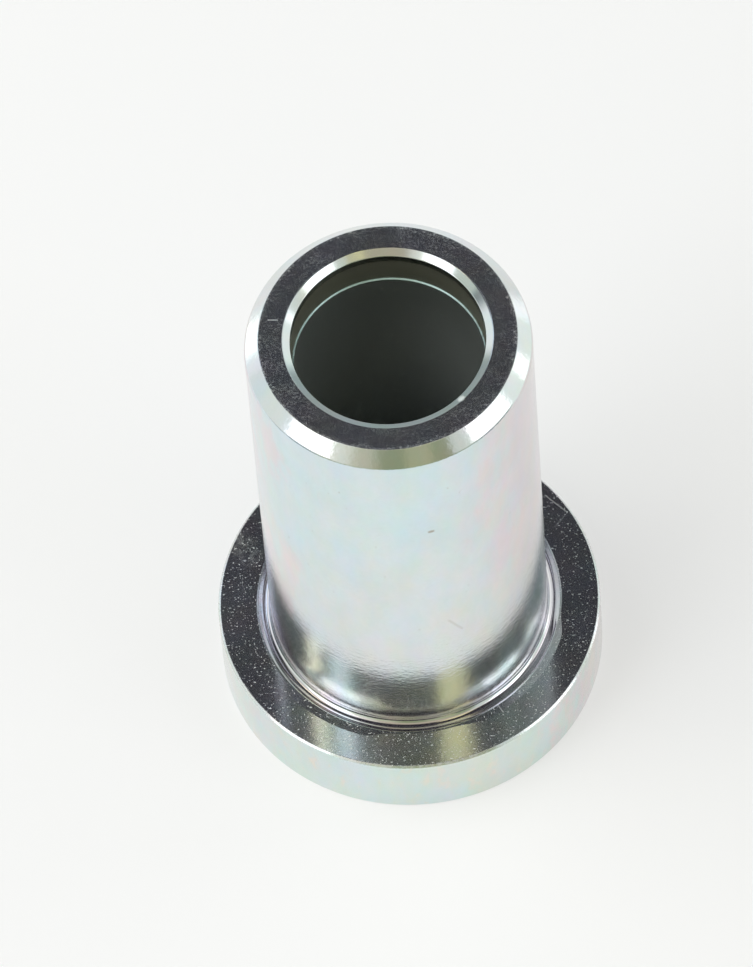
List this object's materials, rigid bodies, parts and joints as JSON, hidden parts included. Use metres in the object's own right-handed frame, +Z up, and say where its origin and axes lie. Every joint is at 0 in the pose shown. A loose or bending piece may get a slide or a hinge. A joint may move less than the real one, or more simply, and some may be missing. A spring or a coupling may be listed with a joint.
{
  "type": "flanged bushing",
  "caption": "Turned steel bushing: a plain sleeve with a through bore stands on a round flange, with a chamfered free end and a relieved corner.",
  "frame": {"origin": "centre of the flange's underside, on the axis", "axes": "+Z up the axis, from the flange towards the sleeve's free end; X and Y lie in the flange's underside, and the part is the same all round"},
  "size_m": [0.0248, 0.0248, 0.0382],
  "materials": {
    "zinc_plate": "bright zinc plate over a turned surface"
  },
  "bodies": {
    "root": {"bushing": "zinc_plate"}
  },
  "joints": []
}
